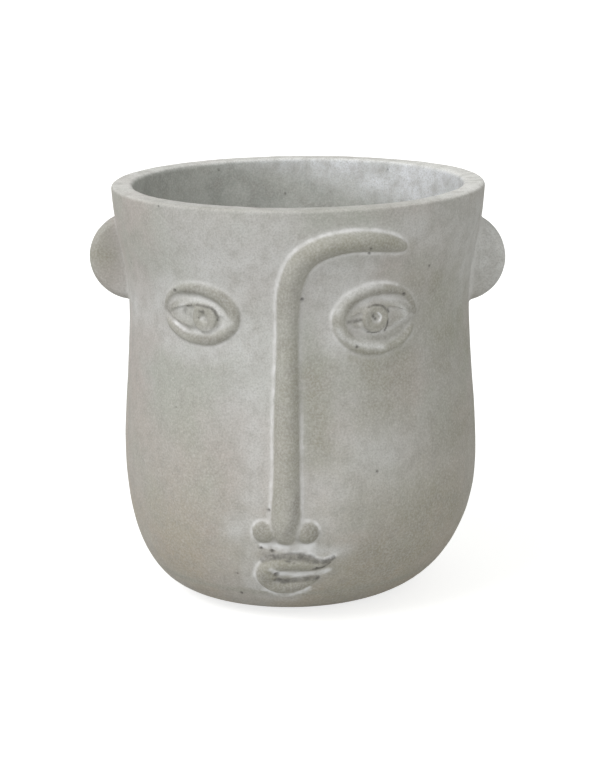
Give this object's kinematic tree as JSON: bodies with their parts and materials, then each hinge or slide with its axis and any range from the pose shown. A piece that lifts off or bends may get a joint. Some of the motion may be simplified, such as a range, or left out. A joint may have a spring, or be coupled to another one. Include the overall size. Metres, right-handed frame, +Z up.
{
  "type": "head planter",
  "caption": "Round cement plant pot cast as a stylised head with disc ears and a relief face, open at the top, with a pull-out drain plug and felt pads under its base.",
  "frame": {"origin": "on the table under the middle of the planter, at the underside of its felt pads", "axes": "+Z up through the open mouth, -Y the way the face looks, +X towards the ear on the viewer's right"},
  "size_m": [0.1575, 0.1412, 0.1565],
  "materials": {
    "cement": "matt sandblasted cement",
    "plug_rubber": "matt moulded rubber",
    "pad_felt": "pressed wool felt"
  },
  "bodies": {
    "pot": {"head_pot": "cement", "base_pad_back_right": "pad_felt", "base_pad_back_left": "pad_felt", "base_pad_front_left": "pad_felt", "base_pad_front_right": "pad_felt"},
    "plug": {"drain_plug": "plug_rubber"}
  },
  "joints": [
    {"name": "plug_lift", "type": "slide", "parent": "pot", "child": "plug", "axis": [0, 0, 1], "range_m": [0, 0.16]}
  ]
}
